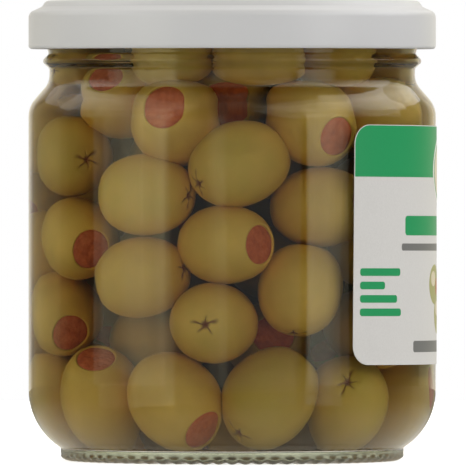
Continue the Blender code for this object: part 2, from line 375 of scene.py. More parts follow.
@dataclass(frozen=True)
class GlassFinish:
    """Clear blown glass with a faint green tint, soft upright ripples and a frosted foot."""

    ior: float = 1.5
    tint: Colour = (0.82, 0.90, 0.70)
    density: float = 16.0
    mirrored: Colour = (0.45, 0.44, 0.34)
    ripples: float = 260.0
    ripple_stretch: Stretch = (1.0, 1.0, 0.06)
    ripple_depth: float = 0.02 * MM
    neck_from: float = 82.0 * MM
    neck_fade: float = 3.0 * MM
    neck_lines: float = 1200.0
    neck_stretch: Stretch = (0.03, 0.03, 1.0)
    neck_depth: float = 0.06 * MM
    frosting: float = 0.3
    frosted_to: float = 3.0 * MM
    frosting_fade: float = 1.0 * MM

    def material(self) -> bpy.types.Material:
        """Makes the material.

        Returns:
            The material.
        """
        shader = Shader("clear glass")
        shader.set(Base_Color=(1.0, 1.0, 1.0), Roughness=0.0, IOR=self.ior, Transmission_Weight=1.0,
                   Specular_Tint=self.mirrored)
        place = shader.tree.nodes.new("ShaderNodeSeparateXYZ")
        shader.tree.links.new(shader.place, place.inputs["Vector"])
        height = place.outputs["Z"]
        fade_from = self.frosted_to - self.frosting_fade
        shader.link(shader.span(height, self.frosting, 0.0, fade_from, self.frosted_to), "Roughness")
        upright = shader.stretched(self.ripple_stretch)
        shader.bump(shader.noise(self.ripples, 1.0, upright), self.ripple_depth)
        level = shader.noise(self.neck_lines, 2.0, shader.stretched(self.neck_stretch))
        on_neck = shader.span(height, 0.0, 1.0, self.neck_from - self.neck_fade, self.neck_from)
        shader.bump(shader.mixed(on_neck, (0.5, 0.5, 0.5), level), self.neck_depth)
        shader.absorb(self.tint, self.density)
        return shader.material


@dataclass(frozen=True)
class BrineFinish:
    """Clear brine, a little brown."""

    ior: float = 1.34
    tint: Colour = (0.62, 0.44, 0.0)
    density: float = 50.0
    mirrored: Colour = (0.2, 0.2, 0.2)
    swirls: float = 60.0
    swirl_depth: float = 0.01 * MM

    def material(self) -> bpy.types.Material:
        """Makes the material.

        Returns:
            The material.
        """
        shader = Shader("olive brine")
        shader.set(Base_Color=(1.0, 1.0, 1.0), Roughness=0.0, IOR=self.ior, Transmission_Weight=1.0,
                   Specular_Tint=self.mirrored)
        shader.bump(shader.noise(self.swirls, 1.0), self.swirl_depth)
        shader.absorb(self.tint, self.density)
        return shader.material


@dataclass(frozen=True)
class EnamelFinish:
    """White enamel on tinplate, with the faint orange peel of a stoved coat."""

    colour: Colour = (0.568, 0.568, 0.582)
    dulled: Colour = (0.556, 0.555, 0.565)
    smears: float = 30.0
    roughness: tuple[float, float] = (0.3, 0.36)
    peel: float = 1800.0
    peel_depth: float = 0.004 * MM

    def material(self) -> bpy.types.Material:
        """Makes the material.

        Returns:
            The material.
        """
        shader = Shader("white enamelled tinplate")
        handled = shader.noise(self.smears, 2.0)
        shader.link(shader.ramp(handled, (0.2, self.colour), (0.8, self.dulled)), "Base Color")
        shader.link(shader.span(handled, *self.roughness), "Roughness")
        shader.set(IOR=1.5)
        shader.bump(shader.noise(self.peel, 1.0), self.peel_depth)
        return shader.material


@dataclass(frozen=True)
class PaperFinish:
    """Coated label paper, printed in one colour, with a trace of its fibres."""

    name: str
    colour: Colour
    roughness: tuple[float, float] = (0.36, 0.48)
    fibres: float = 2600.0
    darker: float = 0.94
    cockles: float = 900.0
    cockle_depth: float = 0.004 * MM

    def material(self) -> bpy.types.Material:
        """Makes the material.

        Returns:
            The material.
        """
        shader = Shader(self.name)
        fibres = shader.noise(self.fibres, 3.0)
        darker = tuple(self.darker * value for value in self.colour)
        shader.link(shader.ramp(fibres, (0.3, darker), (0.7, self.colour)), "Base Color")
        shader.link(shader.span(fibres, *self.roughness), "Roughness")
        shader.set(IOR=1.45)
        shader.bump(shader.noise(self.cockles, 2.0), self.cockle_depth)
        return shader.material


@dataclass(frozen=True)
class OliveFinish:
    """Wet green olive flesh: mottled, freckled with pale pores, and brown in the star cut's creases.

    The dark middle of the star cut and the darker brown of olives deep in the heap are painted shade.
    """

    green: Colour = (0.76, 0.57, 0.085)
    yellow: Colour = (0.88, 0.60, 0.115)
    brown: Colour = (0.70, 0.42, 0.070)
    pore: Colour = (0.88, 0.72, 0.30)
    crease: Colour = (0.34, 0.17, 0.045)
    # The cut's dark maroon middle: the cut's own colour, darkened as painted shade of the pit hole, which
    # the mesh has only as a shallow dip.
    cut: Colour = (0.20, 0.050, 0.022)
    # painted shade: the darker brown that olives deep in the heap are mixed towards
    shaded: Colour = (0.42, 0.29, 0.055)
    mottles: float = 110.0
    pores: float = 1500.0
    patches: float = 300.0
    roughness: tuple[float, float] = (0.34, 0.5)
    grain: float = 700.0
    grain_depth: float = 0.05 * MM

    def material(self) -> bpy.types.Material:
        """Makes the material.

        Returns:
            The material.
        """
        shader = Shader("green olive flesh")
        mottle = shader.noise(self.mottles, 3.0)
        fresh = shader.ramp(mottle, (0.3, self.green), (0.7, self.yellow))
        aged = shader.ramp(mottle, (0.25, self.brown), (0.75, self.yellow))
        flesh = shader.mixed(shader.attribute("tint"), fresh, aged)
        pores = shader.span(shader.grains(self.pores), 1.0, 0.0, 0.05, 0.16)
        patchy = shader.span(shader.noise(self.patches), 0.0, 0.45, 0.45, 0.75)
        freckles = shader.tree.nodes.new("ShaderNodeMath")
        freckles.operation = "MULTIPLY"
        shader.tree.links.new(pores, freckles.inputs[0])
        shader.tree.links.new(patchy, freckles.inputs[1])
        freckled = shader.mixed(freckles.outputs["Value"], flesh, self.pore)
        # Painted shade: the depth attribute mixes olives deep in the heap towards the darker brown.
        shaded = shader.mixed(shader.attribute("depth"), freckled, self.shaded)
        cut = shader.attribute("cut")
        creased = shader.mixed(shader.span(cut, 0.0, 1.0, 0.08, 0.5), shaded, self.crease)
        # Painted shade: the pit's middle, only a shallow dip, is painted dark maroon as though it were the
        # deep pit hole.
        with_painted_pit_shade = shader.mixed(shader.span(cut, 0.0, 1.0, 0.55, 0.95), creased, self.cut)
        shader.link(with_painted_pit_shade, "Base Color")
        shader.link(shader.span(mottle, *self.roughness), "Roughness")
        shader.set(IOR=1.4, Specular_IOR_Level=0.25, Subsurface_Weight=0.12,
                   Subsurface_Radius=(1.0, 0.7, 0.3), Subsurface_Scale=1.2 * MM)
        shader.bump(shader.noise(self.grain, 3.0), self.grain_depth)
        return shader.material


@dataclass(frozen=True)
class PimentoFinish:
    """Minced pimento paste: orange red, with darker and paler shreds."""

    red: Colour = (0.66, 0.155, 0.050)
    dark: Colour = (0.54, 0.115, 0.040)
    pale: Colour = (0.74, 0.21, 0.075)
    shreds: float = 620.0
    roughness: tuple[float, float] = (0.45, 0.65)
    crumbs: float = 1100.0
    crumb_depth: float = 0.12 * MM

    def material(self) -> bpy.types.Material:
        """Makes the material.

        Returns:
            The material.
        """
        shader = Shader("minced pimento")
        shreds = shader.noise(self.shreds, 4.0, rough=0.6)
        shader.link(shader.ramp(shreds, (0.3, self.dark), (0.5, self.red), (0.75, self.pale)), "Base Color")
        shader.link(shader.span(shreds, *self.roughness), "Roughness")
        shader.set(IOR=1.4, Specular_IOR_Level=0.25)
        shader.bump(shader.grains(self.crumbs), self.crumb_depth)
        return shader.material


@dataclass(frozen=True)
class PaintedShadeCoreFinish:
    """The middle of the heap, seen only in the gaps between olives, coloured dark as painted shade."""

    colour: Colour = (0.24, 0.15, 0.06)
    pale: Colour = (0.36, 0.24, 0.09)
    clouds: float = 160.0
    cloud_depth: float = 0.6 * MM

    def material(self) -> bpy.types.Material:
        """Makes the material.

        Returns:
            The material.
        """
        shader = Shader("shaded middle of the heap")
        clouds = shader.noise(self.clouds, 3.0)
        shader.link(shader.ramp(clouds, (0.35, self.colour), (0.7, self.pale)), "Base Color")
        shader.set(Roughness=0.9, Specular_IOR_Level=0.1)
        shader.bump(clouds, self.cloud_depth)
        return shader.material


@dataclass
class GlassJar:
    """The glass jar, from its push-up base to the rim under the lid."""

    body_radius: float = 43.0 * MM
    rim_height: float = 96.1 * MM
    wall: float = 2.5 * MM
    neck_radius: float = 38.6 * MM
    finish_radius: float = 38.8 * MM
    bead_radius: float = 40.3 * MM
    bead_height: float = 84.25 * MM
    bead_half: float = 1.5 * MM
    neck_foot_height: float = 79.75 * MM
    shoulder_height: float = 74.7 * MM
    heel_arc: float = 14.4 * MM
    heel_corner_height: float = 7.15 * MM
    foot_radius: float = 36.0 * MM
    foot_height: float = 2.7 * MM
    rest_ring_inner: float = 31.3 * MM
    push_up_radius: float = 29.0 * MM
    push_up_height: float = 1.6 * MM
    floor_centre_height: float = 4.4 * MM
    floor_edge_height: float = 3.1 * MM
    inner_heel_arc: float = 11.0 * MM
    slope_drop: float = 1.1 * MM
    wavy_from: float = 8.0 * MM
    wavy_to: float = 82.25 * MM
    wavy_fade: float = 6.0 * MM
    segments: int = 504
    flatness: float = 0.014 * MM
    longest: float = 2.4 * MM
    foot_longest: float = 0.38 * MM
    foot_split: float = 4.0 * MM
    knurls: int = 72
    knurl_depth: float = 0.5 * MM
    knurl_height: float = 1.3 * MM
    knurl_inner: float = 30.8 * MM
    knurl_outer: float = 36.4 * MM
    knob_inner: float = 34.2 * MM
    knob_height: float = 0.8 * MM
    knob_half: float = 0.5 * MM
    knob_relief: float = 0.32 * MM
    stipple: float = 0.07 * MM
    stipple_from: float = 0.3 * MM
    stipple_to: float = 2.6 * MM
    thread_starts: int = 6
    thread_relief: float = 0.7 * MM
    thread_half: float = 0.7 * MM
    thread_rise: float = 4.2 * MM
    thread_low: float = 86.2 * MM
    finish: GlassFinish = field(default_factory=GlassFinish)

    def inner_corners(self) -> tuple[Corner, ...]:
        """The inside's corners.

        Returns:
            (radius, height, fillet) of each, from the middle of the floor up to the rim.
        """
        bore = self.body_radius - self.wall
        mouth = self.neck_radius - self.wall
        return (
            (0.0, self.floor_centre_height, 0.0),
            (bore - self.inner_heel_arc, self.floor_edge_height, 6.0 * MM),
            (bore, self.floor_edge_height, self.inner_heel_arc * 0.9),
            (bore, self.shoulder_height - self.slope_drop, 5.0 * MM),
            (mouth, self.neck_foot_height - self.slope_drop, 5.0 * MM),
            (mouth, self.rim_height, 0.8 * MM),
        )

    def outer_corners(self) -> tuple[Corner, ...]:
        """The outside's corners.

        Returns:
            (radius, height, fillet) of each, from the rim down to the middle of the push-up.
        """
        bead = self.bead_height
        return (
            (self.finish_radius, self.rim_height, 0.8 * MM),
            (self.finish_radius, bead + self.bead_half, 0.7 * MM),
            (self.bead_radius, bead, 0.8 * MM),
            (self.neck_radius, bead - self.bead_half, 0.9 * MM),
            (self.neck_radius, self.neck_foot_height, 4.0 * MM),
            (self.body_radius, self.shoulder_height, 5.5 * MM),
            (self.body_radius, self.heel_corner_height, self.heel_arc),
            (self.foot_radius + 0.2 * MM, self.foot_height, 0.5 * MM),
            (self.foot_radius, 0.0, 1.8 * MM),
            (self.rest_ring_inner, 0.0, 0.8 * MM),
            (self.push_up_radius, self.push_up_height, 1.0 * MM),
            (0.0, self.push_up_height + 0.4 * MM, 0.0),
        )

    def inner_outline(self) -> np.ndarray:
        """The inside's (radius, height) rows, from the middle of the floor up to the rim."""
        return divided(filleted(self.inner_corners(), self.flatness), self.longest)

    def outer_outline(self) -> np.ndarray:
        """The outside's outline, fine at the knurled foot and coarse under it.

        Returns:
            (radius, height) rows, from the rim down to the middle of the push-up.
        """
        points = filleted(self.outer_corners(), self.flatness)
        foot = next(index for index, point in enumerate(points) if point.y < self.foot_split)
        push_up = next(index for index, point in enumerate(points) if point.x < self.push_up_radius)
        pieces = (
            divided(points[:foot + 1], self.longest),
            divided(points[foot:push_up + 1], self.foot_longest)[1:],
            divided(points[push_up:], 2 * self.longest)[1:],
        )
        return np.concatenate(pieces)

    def waviness(self, height: np.ndarray) -> np.ndarray:
        """How much of the wall's waviness each height has.

        Args:
            height: each point's height.

        Returns:
            From 0 at the heel and on the neck to 1 on the wall.
        """
        above_heel = np.clip((height - self.wavy_from) / self.wavy_fade, 0.0, 1.0)
        below_neck = np.clip((self.wavy_to - height) / self.wavy_fade, 0.0, 1.0)
        return above_heel * below_neck

    def inner_wave(self, height: np.ndarray, angle: np.ndarray) -> np.ndarray:
        """How far blown glass strays from a true bore.

        Args:
            height: each point's height.
            angle: each point's angle in radians.

        Returns:
            What to add to each point's radius.
        """
        slow = 0.10 * np.sin(2 * angle + 0.7 + 38 * height) + 0.07 * np.sin(5 * angle + 1.9 - 55 * height)
        quick = 0.025 * np.sin(13 * angle + 0.4 + 30 * height) + 0.012 * np.sin(29 * angle + 2.2)
        return (slow + quick) * MM * self.waviness(height)

    def outer_wave(self, height: np.ndarray, angle: np.ndarray) -> np.ndarray:
        """What the fine ripple of the outside adds to each point's radius."""
        ripple = 0.010 * np.sin(31 * angle + 0.3) + 0.006 * np.sin(53 * angle + 40 * height)
        return ripple * MM * self.waviness(height)

    def thread(self, height: np.ndarray, angle: np.ndarray) -> np.ndarray:
        """The slanting threads under the lid, each of which fades in and out.

        Args:
            height: each point's height.
            angle: each point's angle in radians.

        Returns:
            What to add to each point's radius.
        """
        turn = (angle * self.thread_starts / (2 * math.pi)) % 1.0
        centre = self.thread_low + self.thread_rise * turn
        ridge = np.exp(-(((height - centre) / self.thread_half) ** 2))
        ends = np.clip(4 * turn, 0.0, 1.0) * np.clip(5 * (1.0 - turn), 0.0, 1.0)
        above_bead = np.clip((height - self.bead_height - self.bead_half) / (0.5 * MM), 0.0, 1.0)
        return self.thread_relief * ridge * ends * above_bead

    def knurled(self, radius: np.ndarray, height: np.ndarray,
                angle: np.ndarray) -> tuple[np.ndarray, np.ndarray]:
        """The knurls under the foot, and the knobs and stipple on its side.

        Args:
            radius: each point's radius.
            height: each point's height.
            angle: each point's angle in radians.

        Returns:
            What to add to each point's radius and height.
        """
        crest = np.abs(np.cos(self.knurls / 2 * angle + 0.4 * np.sin(7 * angle)))
        ring = np.clip((radius - self.knurl_inner) / (1.0 * MM), 0.0, 1.0) * (radius < self.knurl_outer)
        under = ring * np.clip(1.0 - height / self.knurl_height, 0.0, 1.0)
        knob = ring * crest**1.5 * np.exp(-(((height - self.knob_height) / self.knob_half) ** 2))
        knob = knob * (radius > self.knob_inner)
        pitted = np.sin(113 * angle + 2.6 * np.sin(2300 * height))
        pitted = pitted * np.sin(3900 * height + 9 * np.sin(17 * angle))
        pitted = pitted * np.clip((height - self.stipple_from) / (0.5 * MM), 0.0, 1.0)
        pitted = ring * pitted * (height < self.stipple_to) * np.abs(np.sin(angle)) ** 1.5
        outward = self.knob_relief * knob + self.stipple * pitted
        return outward, self.knurl_depth * (1.0 - crest) * under

    def shape(self, radius: np.ndarray, height: np.ndarray,
              angle: np.ndarray) -> tuple[np.ndarray, np.ndarray]:
        """Adds the blown waviness, the threads under the lid and the knurls under the foot.

        Args:
            radius: each point's radius.
            height: each point's height.
            angle: each point's angle in radians.

        Returns:
            The new radii and heights.
        """
        outside = np.ones_like(radius)
        outside[:len(self.inner_outline()) - 1] = 0.0
        waves = np.where(outside, self.outer_wave(height, angle), self.inner_wave(height, angle))
        radius = radius + waves + outside * self.thread(height, angle)
        outward, upward = self.knurled(radius, height, angle)
        return radius + outside * outward, height + outside * upward

    def build(self) -> None:
        """Makes the jar's glass."""
        outline = np.concatenate((self.inner_outline(), self.outer_outline()))
        glass = turned("glass_jar", outline, self.segments, self.finish.material(), self.shape)
        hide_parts("jar")
        LOG.info("glass_jar: %d faces", len(glass.data.polygons))


@dataclass
class Lid:
    """The pressed twist-off lid."""

    radius: float = 43.0 * MM
    top: float = 97.05 * MM
    height: float = 10.2 * MM
    sheet: float = 0.6 * MM
    ring_outer: float = 39.3 * MM
    ring_inner: float = 35.6 * MM
    panel_drop: float = 0.5 * MM
    button_radius: float = 14.0 * MM
    button_drop: float = 0.35 * MM
    notch_radius: float = 40.2 * MM
    notch_drop: float = 1.3 * MM
    shoulder_drop: float = 2.55 * MM
    curl: float = 1.5 * MM
    slope: float = 1.4 * MM
    flatness: float = 0.01 * MM
    longest: float = 3.0 * MM
    segments: int = 288
    finish: EnamelFinish = field(default_factory=EnamelFinish)

    def corners(self) -> tuple[Corner, ...]:
        """The lid's corners: over its top, down the skirt, round the curl and back under.

        Returns:
            (radius, height, fillet) of each.
        """
        top = self.top
        panel = top - self.panel_drop
        button = panel - self.button_drop
        foot = top - self.height
        slope = self.slope
        inside = self.radius - self.sheet
        return (
            (0.0, button, 0.0),
            (self.button_radius, button, 1.5 * MM),
            (self.button_radius + slope, panel, 1.5 * MM),
            (self.ring_inner - slope, panel, 0.9 * MM),
            (self.ring_inner, top, 0.8 * MM),
            (self.ring_outer, top, 1.2 * MM),
            (self.notch_radius, top - self.notch_drop, 0.7 * MM),
            (self.radius, top - self.shoulder_drop, 1.6 * MM),
            (self.radius, foot, 0.7 * MM),
            (self.radius - self.curl, foot, 0.7 * MM),
            (self.radius - self.curl, foot + self.curl * 0.8, 0.4 * MM),
            (inside, foot + self.curl * 1.3, 0.0),
            (inside, top - self.shoulder_drop - 0.5 * MM, 1.0 * MM),
            (self.notch_radius - 0.4 * MM, top - self.notch_drop - self.sheet, 0.0),
            (self.ring_outer - 0.4 * MM, top - self.sheet, 0.4 * MM),
            (self.ring_inner + 0.2 * MM, top - self.sheet, 0.0),
            (self.ring_inner - slope, panel - self.sheet, 0.0),
            (self.button_radius + slope, panel - self.sheet, 0.0),
            (self.button_radius, button - self.sheet, 0.0),
            (0.0, button - self.sheet, 0.0),
        )

    def build(self) -> None:
        """Makes the lid."""
        outline = divided(filleted(self.corners(), self.flatness), self.longest)
        lid = turned("twist_off_lid", outline, self.segments, self.finish.material())
        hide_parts("lid")
        LOG.info("twist_off_lid: %d faces", len(lid.data.polygons))


@dataclass(frozen=True)
class Patch:
    """A field of ink on the label: the distance along it, the low end and the high end of each strip."""

    ink: PrintInk
    strips: tuple[Strip, ...]
    lift: float = 0.0


@dataclass
class Label:
    """The paper label and its print, from one azimuth to another and a little askew, in degrees.

    Flat places on it are (distance from its left edge, height) pairs.
    """

    start: float = 36.0
    end: float = 247.0
    bottom: float = 20.8 * MM
    top: float = 71.0 * MM
    corner: float = 4.0 * MM
    askew: float = 0.6
    radius: float = 43.04 * MM
    sheet: float = 0.13 * MM
    ink: float = 0.012 * MM
    layer_lift: float = 0.0156 * MM
    step: float = 0.9 * MM
    corner_steps: int = 10
    end_steps: int = 6
    oval_steps: int = 32
    band_bottom: float = 60.1 * MM
    rim: float = 0.16 * MM
    white: Colour = (0.608, 0.596, 0.583)
    panel_middle: float = 42.0 * MM
    badge_height: float = 61.4 * MM
    panel_width: float = 83.0 * MM

    @property
    def length(self) -> float:
        """The label's length round the jar."""
        return math.radians(self.end - self.start) * self.radius

    @property
    def middle(self) -> float:
        """The height of the label's middle."""
        return (self.top + self.bottom) / 2

    def bent(self, along: float, height: float, lift: float) -> tuple[float, float, float]:
        """Where a flat place on the label lies on the jar.

        Args:
            along: distance from the left edge.
            height: height above the table, before the label's slant.
            lift: distance out from the label's back.

        Returns:
            The place in the jar's frame.
        """
        slant = math.radians(-self.askew)
        rise = height - self.middle
        flat_along = along * math.cos(slant) - rise * math.sin(slant)
        flat_rise = along * math.sin(slant) + rise * math.cos(slant)
        angle = math.radians(self.start) + flat_along / self.radius
        radius = self.radius + lift
        return radius * math.sin(angle), -radius * math.cos(angle), self.middle + flat_rise

    def half_height(self, along: float, inset: float) -> float:
        """Half the paper's height, less where its corners are rounded off.

        Args:
            along: distance from the left edge.
            inset: distance kept from the paper's edge.

        Returns:
            Half the height.
        """
        corner = self.corner - inset
        short = corner - min(along - inset, self.length - inset - along)
        bite = corner - math.sqrt(max(0.0, corner**2 - max(0.0, short) ** 2))
        return (self.top - self.bottom) / 2 - inset - bite

    def stations(self, inset: float) -> list[float]:
        """Where along the paper its edge is followed, close together in the corners.

        Args:
            inset: distance kept from the paper's edge.

        Returns:
            Distances from the left edge.
        """
        corner = self.corner - inset
        steps = self.corner_steps
        turn = [inset + corner * (1 - math.cos(math.pi / 2 * step / steps)) for step in range(steps)]
        count = math.ceil((self.length - 2 * self.corner) / self.step)
        span = self.length - 2 * self.corner
        middle = [self.corner + span * step / count for step in range(count + 1)]
        return turn + middle + [self.length - distance for distance in reversed(turn)]

    def slab(self, name: str, patches: list[Patch], thickness: float,
             finish: bpy.types.Material) -> bpy.types.Object:
        """One piece of closed thin slabs, one for each patch.

        Args:
            name: the piece's name.
            patches: their outlines.
            thickness: how thick each slab is.
            finish: the material.

        Returns:
            The new object.
        """
        points: list[tuple[float, float, float]] = []
        faces: list[tuple[int, ...]] = []
        for patch in patches:
            base = len(points)
            for along, low, high in patch.strips:
                for lift in (patch.lift, patch.lift + thickness):
                    points += [self.bent(along, low, lift), self.bent(along, high, lift)]
            last = base + 4 * (len(patch.strips) - 1)
            for left in range(base, last, 4):
                right = left + 4
                faces.append((left, left + 1, right + 1, right))
                faces.append((left + 2, right + 2, right + 3, left + 3))
                faces.append((left, right, right + 2, left + 2))
                faces.append((left + 1, left + 3, right + 3, right + 1))
            faces.append((base, base + 2, base + 3, base + 1))
            faces.append((last, last + 1, last + 3, last + 2))
        return make_piece(name, np.array(points), faces, finish)

    def bar(self, ink: PrintInk, left: float, right: float, low: float, high: float,
            round_ends: float = 0.0) -> Patch:
        """A bar of ink.

        Args:
            ink: its ink.
            left: distance along to its left end.
            right: distance along to its right end.
            low: its lower edge's height.
            high: its upper edge's height.
            round_ends: the radius of its corners.

        Returns:
            The bar.
        """
        half, middle = (high - low) / 2, (low + high) / 2
        strips = []
        for along in self.spaced(left, right, round_ends):
            short = max(0.0, round_ends - min(along - left, right - along))
            bite = round_ends - math.sqrt(max(0.0, round_ends**2 - short**2))
            reach = max(half - bite, half * 0.02)
            strips.append((along, middle - reach, middle + reach))
        return Patch(ink, tuple(strips), self.sheet)

    def spaced(self, left: float, right: float, dense: float) -> list[float]:
        """Distances along, close together near either end.

        Args:
            left: the first distance.
            right: the last distance.
            dense: how far from either end they are close together.

        Returns:
            The distances, from left to right.
        """
        steps = self.end_steps if dense else 0
        ends = [dense * (1 - math.cos(math.pi / 2 * step / steps)) for step in range(steps)]
        span = right - left - 2 * dense
        count = max(1, math.ceil(span / self.step))
        middle = [left + dense + span * step / count for step in range(count + 1)]
        return [left + end for end in ends] + middle + [right - end for end in reversed(ends)]

    def oval(self, ink: PrintInk, along: float, height: float, half_width: float, half_height: float,
             layer: int = 0) -> Patch:
        """An oval of ink.

        Args:
            ink: its ink.
            along: distance along to its middle.
            height: its middle's height.
            half_width: half its width.
            half_height: half its height.
            layer: 0 on the paper, and more on top of other ink.

        Returns:
            The oval.
        """
        strips = []
        for step in range(self.oval_steps + 1):
            turn = math.pi * step / self.oval_steps
            reach = half_height * max(math.sin(turn), 0.01)
            strips.append((along - half_width * math.cos(turn), height - reach, height + reach))
        return Patch(ink, tuple(strips), self.sheet + layer * self.layer_lift)

    def band(self) -> Patch:
        """The green band along the top, which leaves a hair of bare paper at the edge.

        Returns:
            The band.
        """
        strips = []
        for along in self.stations(self.rim):
            high = self.middle + self.half_height(along, self.rim)
            strips.append((along, self.band_bottom, max(high, self.band_bottom + 0.1 * MM)))
        return Patch(PrintInk.GREEN, tuple(strips), self.sheet)

    def front_panel(self) -> list[Patch]:
        """The front panel's print: name bars, side bars, a plain badge and a cluster of olives.

        Returns:
            Its patches of ink.
        """
        patches = [
            self.bar(PrintInk.GREEN, 15.8 * MM, 40.9 * MM, 47.9 * MM, 52.0 * MM, 0.8 * MM),
            self.bar(PrintInk.GREEN, 43.9 * MM, 69.0 * MM, 47.9 * MM, 52.0 * MM, 0.8 * MM),
            self.bar(PrintInk.GREY, 14.5 * MM, 70.3 * MM, 44.7 * MM, 46.2 * MM, 0.5 * MM),
            self.bar(PrintInk.GREY, 19.4 * MM, 65.4 * MM, 23.4 * MM, 25.8 * MM, 0.6 * MM),
        ]
        for row, width in enumerate((12.3, 7.2, 11.2, 12.6)):
            height = (40.2 - 2.8 * row) * MM
            patches.append(self.bar(PrintInk.GREEN, 1.7 * MM, (1.7 + width) * MM, height - 0.8 * MM,
                                    height + 0.8 * MM, 0.6 * MM))
        badge = ((PrintInk.WHITE, 10.4, 7.2), (PrintInk.GREEN, 9.4, 6.2), (PrintInk.CREAM, 8.9, 5.7))
        for layer, (ink, half_width, half_height) in enumerate(badge, 1):
            patches.append(self.oval(ink, self.panel_middle, self.badge_height, half_width * MM,
                                     half_height * MM, layer))
        for along, height in ((33.6, 37.6), (44.0, 38.6), (53.2, 36.8), (38.4, 31.4), (48.8, 30.8)):
            patches += self.printed_olive(along * MM, height * MM)
        return patches

    def printed_olive(self, along: float, height: float) -> list[Patch]:
        """One printed olive, with a highlight and a red stuffing.

        Args:
            along: distance along to its middle.
            height: its middle's height.

        Returns:
            Its patches of ink.
        """
        return [
            self.oval(PrintInk.OLIVE, along, height, 5.2 * MM, 4.2 * MM),
            self.oval(PrintInk.CREAM, along - 1.4 * MM, height + 1.2 * MM, 2.4 * MM, 1.6 * MM, 1),
            self.oval(PrintInk.RED, along + 3.0 * MM, height - 0.4 * MM, 1.3 * MM, 1.9 * MM, 1),
        ]

    def line(self, ink: PrintInk, left: float, right: float, height: float, half: float) -> Patch:
        """A line of small print about this height, as a thin bar with round ends."""
        return self.bar(ink, left, right, height - half, height + half, half - 0.1 * MM)

    def table(self, left: float, right: float) -> list[Patch]:
        """A ruled table with a word and a figure in each row.

        Args:
            left: distance along to its left rule.
            right: distance along to its right rule.

        Returns:
            Its patches of ink.
        """
        top, bottom, pitch, rule = 56.6 * MM, 25.0 * MM, 2.6 * MM, 0.3 * MM
        patches = [self.bar(PrintInk.GREY, along, along + rule, bottom, top) for along in (left, right)]
        for row in range(13):
            high = top - pitch * row
            thick = 0.8 * MM if row in (1, 9) else 0.25 * MM
            patches.append(self.bar(PrintInk.GREY, left, right + rule, high - thick, high))
        for row in range(12):
            height = 55.2 * MM - pitch * row
            word = left + 1.2 * MM
            width = (12.0, 7.5, 10.0, 8.5)[row % 4] * MM
            patches.append(self.bar(PrintInk.GREY, word, word + width, height - 0.35 * MM,
                                    height + 0.35 * MM, 0.2 * MM))
            patches.append(self.bar(PrintInk.GREY, right - 3.6 * MM, right - 1.0 * MM, height - 0.35 * MM,
                                    height + 0.35 * MM, 0.2 * MM))
        return patches

    def facts_panel(self) -> list[Patch]:
        """The back panel's print: a ruled table beside a block of lines.

        Returns:
            Its patches of ink.
        """
        right = self.panel_width + 33.0 * MM
        patches = self.table(self.panel_width + 6.0 * MM, right)
        text_left, text_right = right + 5.0 * MM, self.length - 6.0 * MM
        for row in range(9):
            height = (55.6 - 2.2 * row) * MM
            short = (0.0, 3.0, 1.2, 5.0)[row % 4] * MM
            ink = PrintInk.GREEN if row == 0 else PrintInk.GREY
            patches.append(self.line(ink, text_left, text_right - short, height, 0.4 * MM))
        for row in range(3):
            height = (31.0 - 2.2 * row) * MM
            width = (18.0 - 3.0 * row) * MM
            patches.append(self.line(PrintInk.GREEN, text_left, text_left + width, height, 0.4 * MM))
        return patches

    def build(self) -> None:
        """Makes the paper and its print."""
        paper = Patch(PrintInk.WHITE, tuple(
            (along, self.middle - self.half_height(along, 0.0), self.middle + self.half_height(along, 0.0))
            for along in self.stations(0.0)
        ))
        finish = PaperFinish("white label paper", self.white).material()
        pieces = [self.slab("label_paper", [paper], self.sheet, finish)]
        patches = [self.band()] + self.front_panel() + self.facts_panel()
        for ink in PrintInk:
            chosen = [patch for patch in patches if patch.ink is ink]
            name = f"label_print_{ink.name.lower()}"
            if chosen:
                pieces.append(self.slab(name, chosen, self.ink, PaperFinish(name, ink.value).material()))
        for piece in pieces:
            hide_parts("label")
            LOG.info("%s: %d faces", piece.name, len(piece.data.polygons))


